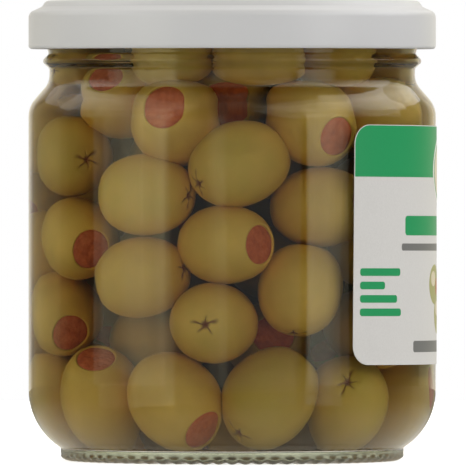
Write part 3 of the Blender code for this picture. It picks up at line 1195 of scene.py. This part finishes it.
@dataclass
class OliveHeap:
    """The olives: where they settle, their skins, their pimento and the middle of the heap, painted dark as
    shade.

    A seen olive is its azimuth, height and radius in degrees and millimetres, the azimuth and elevation
    of its pimento, and its size. The olives given a least painted shade, which are painted darker, and the
    aimed ones are picked by their place in that list.
    """

    jar: GlassJar
    length: float = 20.0 * MM
    width: float = 17.0 * MM
    smallest: float = 0.94
    largest: float = 1.04
    count: int = 76
    clearance: float = 0.45 * MM
    top: float = 94.6 * MM
    seed: int = 7
    candidates: int = 240
    settle_steps: int = 400
    sink_step: float = 0.04 * MM
    give: float = 0.5
    twist: float = 0.1
    anchor_pull: float = 0.4
    decimals: int = 7
    flatness: float = 0.12 * MM
    sharp: float = 75.0
    showing_depth: float = 9.0 * MM
    # Painted shade: olives lying more than shade_from behind the glass are painted darker over shade_fade,
    # up to most_shade.
    shade_from: float = 1.5 * MM
    shade_fade: float = 8.0 * MM
    most_shade: float = 0.65
    mouth_radius: float = 4.75 * MM
    coarse_rings: int = 12
    coarse_segments: int = 16
    fine_rings: int = 24
    fine_segments: int = 60
    star_rings: int = 10
    star_turn: float = 0.4
    star_depth: float = 0.6 * MM
    tip_radius: float = 3.4 * MM
    tip_depth: float = 0.2 * MM
    slit_sharpness: int = 12
    slit_length: float = 3.7 * MM
    slit_fade: float = 1.6 * MM
    slit_share: float = 0.6
    pit_radius: float = 0.72 * MM
    pit_reach: float = 0.5 * MM
    plug_segments: int = 28
    plug_rings: int = 7
    plug_depth: float = 1.2 * MM
    core_radius: float = 18.0 * MM
    core_bottom: float = 9.0 * MM
    core_top: float = 84.0 * MM
    core_fillet: float = 6.0 * MM
    seen: tuple[tuple[float, float, float, float, float, float], ...] = (
        (-70, 64.5, 31.7, 190, 4, 1.0),
        (-32, 56.8, 31.6, -135, 1, 1.01),
        (-22, 72.0, 30.2, -14, 19, 1.0),
        (-50, 76.8, 26.5, -36, 24, 1.0),
        (-66, 47.0, 31.7, 8, -15, 1.0),
        (-78, 31.0, 31.7, 0, -27, 1.0),
        (-34, 39.0, 31.7, -143, -4, 0.99),
        (-54, 14.8, 31.5, -12, 55, 1.02),
        (-21, 14.0, 31.5, 50, -40, 1.02),
        (-7, 29.5, 31.7, 169, 1, 1.0),
        (2, 63.0, 31.5, 118, 24, 1.03),
        (-2, 46.0, 31.7, 43, 0, 0.98),
        (30, 70.5, 31.0, 38, -15, 0.98),
        (34, 53.6, 31.7, 78, 4, 1.0),
        (25, 36.5, 31.7, 155, 72, 0.99),
        (14, 15.0, 31.4, 120, 45, 1.04),
        (46, 14.0, 31.5, 187, -20, 1.0),
        (80, 14.5, 31.5, 100, 10, 1.0),
        (66, 72.0, 30.0, 140, 10, 1.0),
        (11, 84.5, 26.0, 100, 5, 0.96),
        (-26, 85.5, 26.0, 60, -10, 0.96),
        (48, 84.5, 26.0, 45, -25, 0.96),
        (-1, 77.0, 17.0, -5, 5, 0.96),
        (19, 25.5, 18.0, 12, 10, 0.96),
    )
    # Painted shade: these seen olives are painted at least this much darker, picked by their place in the
    # seen list.
    least_painted_shade: tuple[tuple[int, float], ...] = ((0, 0.35), (10, 0.2), (15, 0.45), (16, 0.25), (17, 0.3))
    aimed: tuple[tuple[int, float, float], ...] = (
        (1, -122, 1),
        (2, -19, 22),
        (6, -118, -12),
        (7, -18, 55),
        (11, 51, 0),
        (12, 43, -15),
        (20, 60, 75),
        (21, 100, 75),
        (22, -5, -17),
    )

    def wall(self) -> tuple[np.ndarray, np.ndarray]:
        """The inside of the glass, as straight pieces.

        Returns:
            The radius and height of each piece's start, and of its end.
        """
        points = [tuple(point) for point in filleted(self.jar.inner_corners(), self.flatness)[:-1]]
        points[-1] = (points[-1][0], self.top)
        points.append((0.0, self.top))
        outline = np.array(points)
        return outline[:-1], outline[1:]

    @staticmethod
    def nearest(places: np.ndarray, starts: np.ndarray, ends: np.ndarray) -> tuple[np.ndarray, np.ndarray]:
        """The wall's nearest point to each place.

        Args:
            places: the radius and height of each.
            starts: the radius and height of each wall piece's start.
            ends: the radius and height of each wall piece's end.

        Returns:
            The nearest points, and how far each is.
        """
        along = ends - starts
        share = ((places[:, None, :] - starts) * along).sum(-1) / (along * along).sum(-1)
        points = starts + np.clip(share, 0.0, 1.0)[..., None] * along
        gaps = np.linalg.norm(places[:, None, :] - points, axis=-1)
        picked = gaps.argmin(axis=1)
        rows = np.arange(len(places))
        return points[rows, picked], gaps[rows, picked]

    def starting(self) -> tuple[np.ndarray, np.ndarray, np.ndarray]:
        """The olives before they settle, the seen ones first.

        Returns:
            Their centres, pimento directions and sizes.
        """
        centres, axes, sizes = [], [], []
        for azimuth, height, radius, pimento_azimuth, pimento_elevation, size in self.seen:
            centre = direction(azimuth, 0.0) * radius * MM
            centre[2] = height * MM
            centres.append(centre)
            axes.append(direction(pimento_azimuth, pimento_elevation))
            sizes.append(size)
        starts, ends = self.wall()
        draw = np.random.default_rng(self.seed)
        reach = self.width / 2 + self.clearance
        widest = self.jar.body_radius - self.jar.wall - reach
        while len(centres) < self.count:
            turn = draw.uniform(0.0, 2 * math.pi, self.candidates)
            radius = widest * np.sqrt(draw.uniform(0.0, 1.0, self.candidates))
            height = draw.uniform(self.jar.floor_edge_height + reach, self.top - reach, self.candidates)
            places = np.stack((radius * np.sin(turn), -radius * np.cos(turn), height), axis=1)
            _, gap = self.nearest(np.stack((radius, height), axis=1), starts, ends)
            room = np.linalg.norm(places[:, None] - np.array(centres), axis=-1).min(axis=1)
            centres.append(places[np.minimum(room, 2 * gap).argmax()])
            lean = draw.normal(size=3)
            axes.append(lean / np.linalg.norm(lean))
            sizes.append(draw.uniform(self.smallest, self.largest))
        return np.array(centres), np.array(axes), np.array(sizes)

    def settled(self) -> tuple[np.ndarray, np.ndarray, np.ndarray]:
        """The olives once they have pushed each other apart.

        Each olive is two balls on its long axis. The seen ones are pulled back to their places, and
        none may reach into the glass.

        Returns:
            Their centres, pimento directions and sizes.
        """
        centres, axes, sizes = self.starting()
        anchors, held = centres.copy(), len(self.seen)
        starts, ends = self.wall()
        count = len(centres)
        owner = np.repeat(np.arange(count), 2)
        ball = sizes[owner] * self.width / 2
        side = np.tile((1.0, -1.0), count) * sizes[owner] * (self.length - self.width) / 2
        touching = ball[:, None] + ball[None]
        touching[owner[:, None] == owner[None]] = 0.0
        for step in range(self.settle_steps):
            centres[held:, 2] -= self.sink_step * (1 - step / self.settle_steps)
            balls = centres[owner] + axes[owner] * side[:, None]
            apart = balls[:, None] - balls[None]
            gaps = np.linalg.norm(apart, axis=-1)
            overlap = np.maximum(touching - gaps, 0.0)
            push = (apart * (0.5 * overlap / np.maximum(gaps, MM * MM))[..., None]).sum(axis=1)
            push /= np.sqrt(np.maximum((overlap > 0.0).sum(axis=1), 1))[:, None]
            pair = push.reshape(count, 2, 3)
            centres += self.give * pair.mean(axis=1)
            axes[held:] += (pair[held:, 0] - pair[held:, 1]) * self.twist / MM
            axes /= np.linalg.norm(axes, axis=1)[:, None]
            centres[:held] += self.anchor_pull * (anchors[:held] - centres[:held])
            balls = centres[owner] + axes[owner] * side[:, None]
            flat = np.stack((np.linalg.norm(balls[:, :2], axis=1), balls[:, 2]), axis=1)
            wall, gap = self.nearest(flat, starts, ends)
            short = np.maximum(ball + self.clearance - gap, 0.0)
            inward = (flat - wall) * (short / gap)[:, None]
            back = np.empty_like(balls)
            back[:, :2] = balls[:, :2] / flat[:, :1] * inward[:, :1]
            back[:, 2] = inward[:, 1]
            deeper = short.reshape(count, 2).argmax(axis=1)
            centres += back.reshape(count, 2, 3)[np.arange(count), deeper]
            centres, axes = np.round(centres, self.decimals), np.round(axes, self.decimals)
        return centres, axes, sizes

    def skin_outline(self, fine: bool) -> tuple[np.ndarray, np.ndarray]:
        """One side of an olive about +Z, from the star end below to inside the pimento's mouth.

        Args:
            fine: True for an olive that shows.

        Returns:
            The radius and height of each ring.
        """
        rings = self.fine_rings if fine else self.coarse_rings
        half, belly = self.length / 2, self.width / 2
        mouth = math.pi - math.asin(self.mouth_radius / belly * 0.93)
        turn = np.linspace(0.0, mouth, rings)
        if fine:
            star = np.linspace(0.0, self.star_turn, self.star_rings + 1)
            turn = np.concatenate((star[:-1], np.linspace(self.star_turn, mouth, rings - self.star_rings)))
        radius = belly * np.abs(np.sin(turn)) ** 0.93
        height = -half * np.sign(np.cos(turn)) * np.abs(np.cos(turn)) ** 0.97
        lip_radius = radius[-1] - np.array((0.18, 0.42, 0.6)) * MM
        lip_height = height[-1] + np.array((0.05, -0.05, -0.9)) * MM
        return np.concatenate((radius, lip_radius)), np.concatenate((height, lip_height))

    def skin(self, fine: bool, arms: int,
             draw: np.random.Generator) -> tuple[np.ndarray, list[tuple[int, ...]], np.ndarray]:
        """One olive's skin about +Z.

        Args:
            fine: True for an olive that shows.
            arms: how many slits the star cut has.
            draw: the random numbers that make it its own shape.

        Returns:
            Its points, faces, and how deep in the star cut each point is, from 0 to 1.
        """
        segments = self.fine_segments if fine else self.coarse_segments
        radius, height = self.skin_outline(fine)
        angle = 2 * math.pi * np.arange(segments) / segments
        rad = np.repeat(radius[1:, None], segments, axis=1)
        hgt = np.repeat(height[1:, None], segments, axis=1)
        phases = draw.uniform(0.0, 2 * math.pi, 5)
        dents = draw.uniform(-1.0, 1.0, 5)
        along = hgt / (self.length / 2)
        plump = 1.0 + 0.012 * dents[0] * np.sin(2 * angle + phases[0]) * (1 - along**2)
        plump = plump + 0.010 * dents[1] * np.sin(3 * angle + phases[1] + 2 * along)
        plump = plump + 0.022 * dents[2] * along * (1 - along**2)
        plump = plump - 0.018 * np.exp(-((angle - phases[3] + 3 * dents[3] * along) ** 2) / 0.05)
        rad = rad * plump
        at_star = hgt < 0.0
        near_tip = np.clip(1.0 - (rad / self.tip_radius) ** 2, 0.0, 1.0) * at_star
        bent = angle + 0.12 * np.sin(3 * angle + phases[0]) + 0.05 * np.sin(2.2 * rad / MM + phases[1])
        slits = np.abs(np.cos(arms / 2 * bent + phases[4])) ** self.slit_sharpness
        lengths = 0.82 + 0.18 * np.sin(2 * angle + phases[2])
        slit = np.clip((self.slit_length * lengths - rad) / self.slit_fade, 0.0, 1.0)
        slit = self.slit_share * slits * slit * at_star * np.clip(rad / (0.3 * MM), 0.0, 1.0)
        pit = np.exp(-((rad / (self.pit_radius + self.pit_reach * slits)) ** 2)) * at_star
        deep = np.clip(np.maximum(slit, pit), 0.0, 1.0)
        hgt = hgt + self.star_depth * deep + self.tip_depth * near_tip
        points = np.stack((rad * np.cos(angle), rad * np.sin(angle), hgt), axis=-1).reshape(-1, 3)
        tip = np.array(((0.0, 0.0, height[0] + self.star_depth + self.tip_depth),))
        points = np.concatenate((points, tip))
        cut = np.append(deep.ravel(), 1.0)
        pole = len(points) - 1
        faces: list[tuple[int, ...]] = []
        for side in range(segments):
            after = (side + 1) % segments
            faces.append((pole, after, side))
            for ring in range(len(radius) - 2):
                low, high = ring * segments, (ring + 1) * segments
                faces.append((low + side, low + after, high + after, high + side))
        return points, faces, cut

    def plug(self, draw: np.random.Generator) -> tuple[np.ndarray, list[tuple[int, ...]]]:
        """One olive's pimento about +Z: a lumpy disc that fills the mouth.

        Args:
            draw: the random numbers that make it its own shape.

        Returns:
            Its points and faces.
        """
        segments, rings = self.plug_segments, self.plug_rings
        radius, height = self.skin_outline(True)
        level = height[-4]
        angle = 2 * math.pi * np.arange(segments) / segments
        share = np.arange(1, rings + 1) / rings
        rad = (radius[-4] - 0.2 * MM) * np.repeat(share[:, None], segments, axis=1)
        phases = draw.uniform(0.0, 2 * math.pi, 4)
        lumps = np.sin(3 * angle + phases[0] + 9 * rad / MM) * 0.05
        lumps = lumps + np.sin(5 * angle + phases[1]) * 0.06 * rad / (4 * MM)
        lumps = lumps + 0.08 * np.sin(2 * angle + 1.4 * rad / MM + phases[2])
        dome = 0.42 * (1 - (rad / (self.mouth_radius)) ** 2)
        hgt = level + (dome + lumps - 0.12 - 0.5 * (share[:, None] == 1.0)) * MM
        ring_points = np.stack((rad * np.cos(angle), rad * np.sin(angle), hgt), axis=-1).reshape(-1, 3)
        foot = level - self.plug_depth
        base = np.stack((rad[-1] * np.cos(angle), rad[-1] * np.sin(angle), np.full(segments, foot)), axis=-1)
        ends = np.array(((0.0, 0.0, level + 0.3 * MM), (0.0, 0.0, foot)))
        points = np.concatenate((ring_points, base, ends))
        top, bottom = len(points) - 2, len(points) - 1
        faces: list[tuple[int, ...]] = []
        for side in range(segments):
            after = (side + 1) % segments
            faces.append((top, side, after))
            faces.append((bottom, rings * segments + after, rings * segments + side))
            for ring in range(rings):
                low, high = ring * segments, (ring + 1) * segments
                faces.append((low + side, high + side, high + after, low + after))
        return points, faces

    @staticmethod
    def placed(points: np.ndarray, centre: np.ndarray, axis: np.ndarray, size: float) -> np.ndarray:
        """Scales points about +Z to an olive's size, and turns and moves them to its place."""
        turn = np.array(Vector(axis).to_track_quat("Z", "Y").to_matrix())
        return points * size @ turn.T + centre

    def build(self) -> None:
        """Makes the skins, the pimento and the middle of the heap."""
        centres, axes, sizes = self.settled()
        for index, azimuth, elevation in self.aimed:
            axes[index] = direction(azimuth, elevation)
        radii = np.linalg.norm(centres[:, :2], axis=1)
        _, gaps = self.nearest(np.stack((radii, centres[:, 2]), axis=1), *self.wall())
        showing = gaps < self.width / 2 + self.showing_depth
        draw = np.random.default_rng(self.seed + 1)
        least_painted_shade = dict(self.least_painted_shade)
        skins, plugs, cuts, tints, painted_shades = [], [], [], [], []
        skin_faces: list[tuple[int, ...]] = []
        plug_faces: list[tuple[int, ...]] = []
        skin_base = plug_base = 0
        for index in range(len(centres)):
            points, faces, cut = self.skin(bool(showing[index]), 6 if index % 2 == 0 else 5, draw)
            skins.append(self.placed(points, centres[index], axes[index], sizes[index]))
            skin_faces += [tuple(skin_base + corner for corner in face) for face in faces]
            skin_base += len(points)
            cuts.append(cut)
            tints.append(np.full(len(points), draw.uniform(0.0, 0.8)))
            # Painted shade: the deeper an olive lies behind the glass, the darker it is painted; the listed
            # ones are at least this dark.
            depth = (gaps[index] - self.width / 2 - self.shade_from) / self.shade_fade
            depth = np.clip(depth, least_painted_shade.get(index, 0.0), self.most_shade)
            painted_shades.append(np.full(len(points), depth))
            points, faces = self.plug(draw)
            plugs.append(self.placed(points, centres[index], axes[index], sizes[index]))
            plug_faces += [tuple(plug_base + corner for corner in face) for face in faces]
            plug_base += len(points)
        skin_points, flesh = np.concatenate(skins), OliveFinish().material()
        olives = make_piece("olive_skins", skin_points, skin_faces, flesh, self.sharp)
        LOG.info("%d olives, %d of them fine", len(centres), int(showing.sum()))
        # The depth attribute carries each olive's painted shade.
        for name, values in (("cut", cuts), ("tint", tints), ("depth", painted_shades)):
            layer = olives.data.attributes.new(name, "FLOAT", "POINT")
            layer.data.foreach_set("value", np.concatenate(values))
        paste = PimentoFinish().material()
        pimento = make_piece("pimento_stuffing", np.concatenate(plugs), plug_faces, paste)
        for piece in (olives, pimento, self.core()):
            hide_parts("olives")
            LOG.info("%s: %d faces", piece.name, len(piece.data.polygons))

    def core(self) -> bpy.types.Object:
        """The middle of the heap, well behind the olives that show: a dark piece whose colour is painted
        shade.

        Returns:
            The new object.
        """
        corners = (
            (0.0, self.core_bottom, 0.0),
            (self.core_radius, self.core_bottom, self.core_fillet),
            (self.core_radius, self.core_top, self.core_fillet),
            (0.0, self.core_top, 0.0),
        )
        outline = divided(filleted(corners, 0.1 * MM), 2.0 * MM)[::-1]
        return turned("heap_middle", outline, 72, PaintedShadeCoreFinish().material(), self.lumpy)

    @staticmethod
    def lumpy(radius: np.ndarray, height: np.ndarray, angle: np.ndarray) -> tuple[np.ndarray, np.ndarray]:
        """Raises lumps of an olive's size on the middle of the heap."""
        lumps = np.sin(6 * angle + 90 * height) * np.sin(370 * height + 2 * angle)
        return radius * (1 + 0.09 * lumps), height


@dataclass
class Brine:
    """The liquid round the olives, which reaches just into the glass."""

    jar: GlassJar
    level: float = 92.4 * MM
    overlap: float = 0.12 * MM
    segments: int = 252
    finish: BrineFinish = field(default_factory=BrineFinish)

    def shape(self, radius: np.ndarray, height: np.ndarray,
              angle: np.ndarray) -> tuple[np.ndarray, np.ndarray]:
        """Makes each radius follow the bore's waviness."""
        return radius + self.jar.inner_wave(height, angle), height

    def build(self) -> None:
        """Makes the brine."""
        bore = filleted(self.jar.inner_corners(), self.jar.flatness)[:-1]
        grown = []
        for index, point in enumerate(bore):
            before = bore[max(index - 1, 0)]
            after = bore[min(index + 1, len(bore) - 1)]
            along = (after - before).normalized()
            grown.append(point + Vector((along.y, -along.x)) * self.overlap)
        grown = [point for point in grown if point.y < self.level]
        grown[0].x = 0.0
        grown.append(Vector((grown[-1].x, self.level)))
        grown.append(Vector((0.0, self.level)))
        outline = divided(grown, self.jar.longest)[::-1]
        brine = turned("olive_brine", outline, self.segments, self.finish.material(), self.shape)
        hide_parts("olives")
        LOG.info("olive_brine: %d faces", len(brine.data.polygons))


@dataclass(frozen=True)
class Softbox:
    """A rectangular light that faces the middle of the jar."""

    name: str
    azimuth: float
    elevation: float
    distance: float
    width: float
    height: float
    radiance: float
    colour: Colour = (1.0, 1.0, 1.0)

    def build(self, target: Vector) -> None:
        """Makes the light.

        Args:
            target: what it faces.
        """
        light = bpy.data.lights.new(self.name, "AREA")
        light.shape = "RECTANGLE"
        light.size = self.width
        light.size_y = self.height
        light.energy = math.pi * self.width * self.height * self.radiance
        light.color = self.colour
        lamp = bpy.data.objects.new(self.name, light)
        away = Vector(direction(self.azimuth, self.elevation))
        lamp.location = target + away * self.distance
        lamp.rotation_euler = away.to_track_quat("Z", "Y").to_euler()
        bpy.context.scene.collection.objects.link(lamp)


@dataclass
class Studio:
    """The pale floor, the lights, the backdrop's light and the camera."""

    target: Vector = field(default_factory=lambda: Vector((0.0, 0.0, 0.048)))
    camera_height: float = 74.0 * MM
    camera_distance: float = 2.703
    frame_pixels: float = 466.0
    focal_pixels: float = 12800.0
    sensor: float = 36.0
    aim_right: float = 0.17 * MM
    backdrop: float = 1.0
    backdrop_tint: Colour = (1.0, 0.95, 0.82)
    ambient: float = 0.12
    glow: float = 0.9
    glow_span: tuple[float, float] = (0.85, 0.98)
    ceiling: float = 0.5
    ceiling_span: tuple[float, float] = (0.3, 0.8)
    floor_radius: float = 0.55
    floor_gap: float = 0.05 * MM
    floor_clouds: float = 6.0
    floor_grey: Colour = (0.62, 0.62, 0.62)
    floor_pale: Colour = (0.64, 0.64, 0.64)
    floor_seen: Colour = (0.8, 0.8, 0.77)
    floor_lighting: Colour = (0.26, 0.26, 0.25)
    pool_middle: Colour = (1.02, 0.98, 0.86)
    pool_edge: Colour = (0.12, 0.115, 0.1)
    pool_radius: float = 0.15
    bounces: int = 28
    soft_bounces: int = 8
    softboxes: tuple[Softbox, ...] = (
        Softbox("left softbox", -60.0, 4.0, 1.2, 1.07, 1.3, 0.95, (1.0, 1.0, 0.88)),
        Softbox("left softbox core", -50.5, 4.0, 1.18, 0.58, 1.3, 0.55, (1.0, 0.97, 0.85)),
        Softbox("left streak", -51.5, 4.0, 1.14, 0.035, 1.3, 0.6, (1.0, 1.0, 0.8)),
        Softbox("left edge streak", -39.0, 4.0, 1.14, 0.085, 1.3, 0.4, (1.0, 1.0, 0.8)),
        Softbox("right edge streak", 44.5, 4.0, 1.14, 0.05, 1.3, 0.5),
        Softbox("right softbox", 54.7, 4.0, 1.2, 0.54, 1.3, 1.1),
        Softbox("right softbox core", 52.5, 4.0, 1.18, 0.31, 1.3, 0.6),
        Softbox("high right softbox", 76.0, 42.0, 1.3, 2.4, 1.0, 1.3),
        Softbox("high left softbox", -80.0, 42.0, 1.3, 2.2, 1.0, 0.75),
        Softbox("rear high right softbox", 128.0, 44.0, 1.3, 2.0, 1.1, 1.1),
        Softbox("rear high left softbox", -128.0, 44.0, 1.3, 2.0, 1.1, 0.5),
        Softbox("rear left softbox", -132.0, 4.0, 1.5, 1.0, 1.4, 0.3, (1.0, 0.88, 0.5)),
        Softbox("rear right softbox", 146.0, 4.0, 1.5, 0.8, 1.4, 0.36, (1.0, 0.95, 0.6)),
        Softbox("front strip", -8.3, 6.0, 1.5, 0.22, 1.2, 0.5, (1.0, 1.0, 0.8)),
        Softbox("front wash", 0.5, 2.0, 1.5, 2.3, 0.5, 0.42, (0.6, 0.72, 1.0)),
    )

    def floor(self) -> None:
        """A pale round floor with a little light of its own, as a lit table has.

        The glass mirrors a pool of that light that fades away from the jar.
        """
        shader = Shader("pale floor")
        pale = shader.ramp(shader.noise(self.floor_clouds), (0.3, self.floor_grey), (0.7, self.floor_pale))
        shader.set(Roughness=0.8, Specular_IOR_Level=0.1, Emission_Strength=1.0)
        path = shader.tree.nodes.new("ShaderNodeLightPath")
        pool = shader.tree.nodes.new("ShaderNodeTexGradient")
        pool.gradient_type = "QUADRATIC_SPHERE"
        closer = 1.0 / self.pool_radius
        shader.tree.links.new(shader.stretched((closer, closer, closer)), pool.inputs["Vector"])
        fading = shader.ramp(pool.outputs["Fac"], (0.0, self.pool_edge), (1.0, self.pool_middle))
        mirrored = shader.mixed(path.outputs["Is Glossy Ray"], self.floor_seen, fading)
        away = shader.mixed(pool.outputs["Fac"], self.pool_edge, pale)
        lit = shader.mixed(path.outputs["Is Glossy Ray"], pale, away)
        shader.link(shader.mixed(path.outputs["Diffuse Depth"], lit, pale), "Base Color")
        glowing = shader.mixed(path.outputs["Diffuse Depth"], mirrored, self.floor_lighting)
        shader.link(glowing, "Emission Color")
        ring = [direction(angle, 0.0) * self.floor_radius for angle in range(0, 360, 3)]
        mesh = bpy.data.meshes.new("floor")
        mesh.from_pydata([tuple(point) for point in ring], [], [tuple(range(len(ring)))])
        mesh.materials.append(shader.material)
        floor = bpy.data.objects.new("floor", mesh)
        floor.location.z = -self.floor_gap
        bpy.context.scene.collection.objects.link(floor)

    def world(self) -> None:
        """White behind the jar, dim at its sides and in front of it, and soft above it."""
        world = bpy.data.worlds.new("backdrop")
        world.use_nodes = True
        nodes, links = world.node_tree.nodes, world.node_tree.links
        lighting = nodes["Background"]
        lighting.inputs["Color"].default_value = (*self.backdrop_tint, 1.0)
        place = nodes.new("ShaderNodeTexCoord")
        parts = nodes.new("ShaderNodeSeparateXYZ")
        links.new(place.outputs["Generated"], parts.inputs["Vector"])
        glow = None
        for axis, start, end, low, high in (
            ("Y", *self.glow_span, self.ambient, self.glow),
            ("Z", *self.ceiling_span, 0.0, self.ceiling),
        ):
            span = nodes.new("ShaderNodeMapRange")
            span.interpolation_type = "SMOOTHSTEP"
            for name, value in (("From Min", start), ("From Max", end), ("To Min", low), ("To Max", high)):
                span.inputs[name].default_value = value
            links.new(parts.outputs[axis], span.inputs["Value"])
            if glow is None:
                glow = span.outputs["Result"]
            else:
                total = nodes.new("ShaderNodeMath")
                total.operation = "MAXIMUM"
                links.new(glow, total.inputs[0])
                links.new(span.outputs["Result"], total.inputs[1])
                glow = total.outputs["Value"]
        links.new(glow, lighting.inputs["Strength"])
        shown = nodes.new("ShaderNodeBackground")
        shown.inputs["Color"].default_value = (1.0, 1.0, 1.0, 1.0)
        shown.inputs["Strength"].default_value = self.backdrop
        path = nodes.new("ShaderNodeLightPath")
        chosen = nodes.new("ShaderNodeMixShader")
        links.new(path.outputs["Is Camera Ray"], chosen.inputs["Fac"])
        links.new(lighting.outputs["Background"], chosen.inputs[1])
        links.new(shown.outputs["Background"], chosen.inputs[2])
        links.new(chosen.outputs["Shader"], nodes["World Output"].inputs["Surface"])
        bpy.context.scene.world = world

    def camera(self) -> None:
        """The long lens, almost level with the jar."""
        lens = bpy.data.cameras.new("camera")
        lens.sensor_width = self.sensor
        lens.lens = self.focal_pixels / self.frame_pixels * self.sensor
        lens.clip_start = 0.05
        lens.clip_end = 50.0
        camera = bpy.data.objects.new("camera", lens)
        camera.location = (0.0, -self.camera_distance, self.camera_height)
        aim = self.target + Vector((self.aim_right, 0.0, 0.0)) - camera.location
        camera.rotation_euler = aim.to_track_quat("-Z", "Y").to_euler()
        bpy.context.scene.collection.objects.link(camera)
        bpy.context.scene.camera = camera

    def build(self) -> None:
        """Sets up everything round the jar."""
        self.floor()
        self.world()
        self.camera()
        for softbox in self.softboxes:
            softbox.build(self.target)
        scene = bpy.context.scene
        scene.view_settings.view_transform = "Standard"
        cycles = scene.cycles
        cycles.use_denoising = True
        cycles.max_bounces = self.bounces
        cycles.transmission_bounces = self.bounces
        cycles.diffuse_bounces = self.soft_bounces
        cycles.glossy_bounces = self.soft_bounces
        LOG.info("studio: %d lights", len(self.softboxes))


def main() -> None:
    """Builds the jar, what is in and on it, and the studio."""
    logging.basicConfig(level=logging.INFO, format="%(name)s: %(message)s")
    jar = GlassJar()
    jar.build()
    Brine(jar).build()
    OliveHeap(jar).build()
    Label().build()
    Lid().build()
    Studio().build()


if __name__ == "__main__":
    main()
